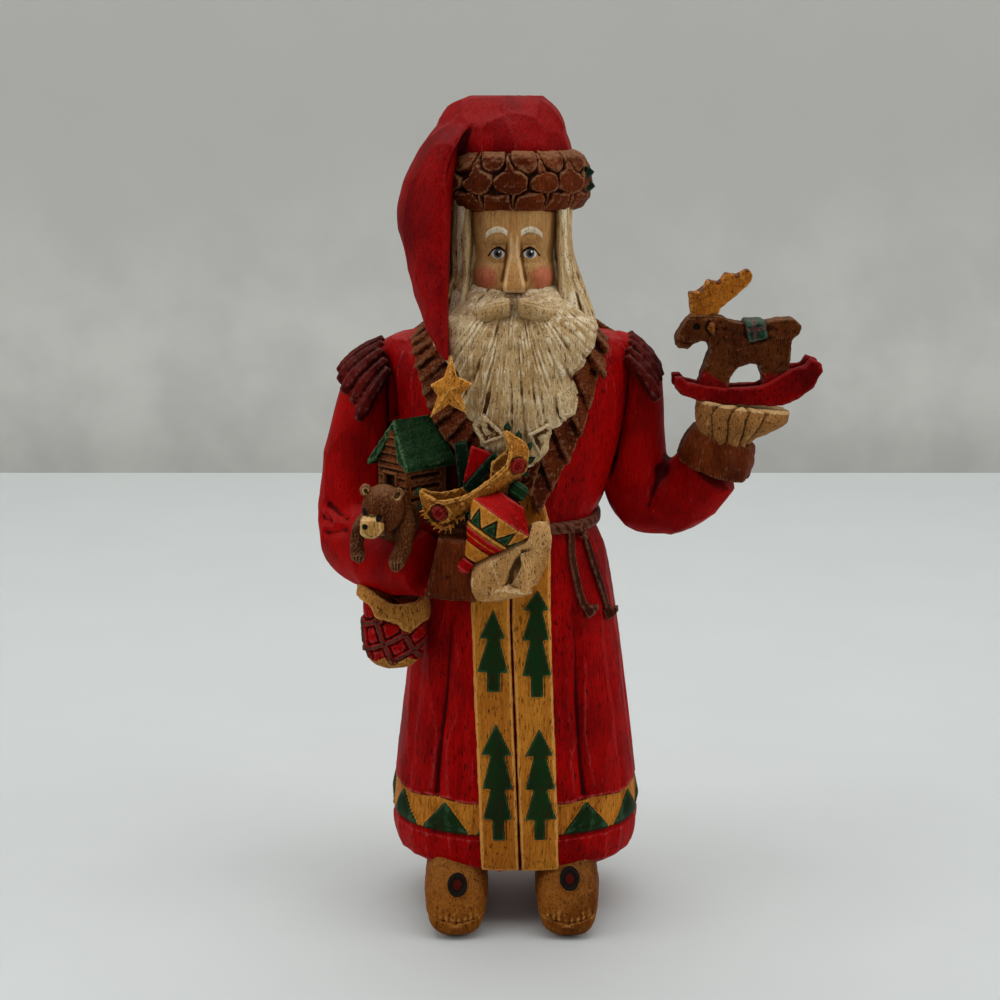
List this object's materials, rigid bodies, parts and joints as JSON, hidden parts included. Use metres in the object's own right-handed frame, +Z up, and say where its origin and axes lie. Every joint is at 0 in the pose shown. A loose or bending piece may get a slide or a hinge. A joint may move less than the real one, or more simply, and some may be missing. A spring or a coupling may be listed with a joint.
{
  "type": "santa figurine",
  "caption": "Standing folk figure in a long belted coat and folded stocking hat, an armful of toys held in front and a rocking moose on the raised palm.",
  "frame": {"origin": "centre of the underside of the whole figurine's box, on the surface that the soles stand on", "axes": "+Z up, the figure faces -Y, +X towards the raised hand"},
  "size_m": [0.1542, 0.08, 0.255],
  "materials": {
    "coat_red": "satin painted cast resin, deep red with dark antiquing in the cuts and pink dry-brushed edges",
    "moose_brown": "satin painted cast resin, red-brown with fine dark speckle",
    "fur_brown": "dark brown painted fur with grey dry-brushed facets",
    "beard_cream": "cream paint with brown antiquing in the strands",
    "skin_tan": "wood-coloured flesh with rosy cheeks",
    "board_tan": "honey tan like varnished wood, with fine grain",
    "leaf_green": "dark green paint",
    "star_gold": "old gold paint, speckled"
  },
  "bodies": {
    "root": {"santa_figure": "coat_red", "rocking_moose": "moose_brown"}
  },
  "joints": []
}
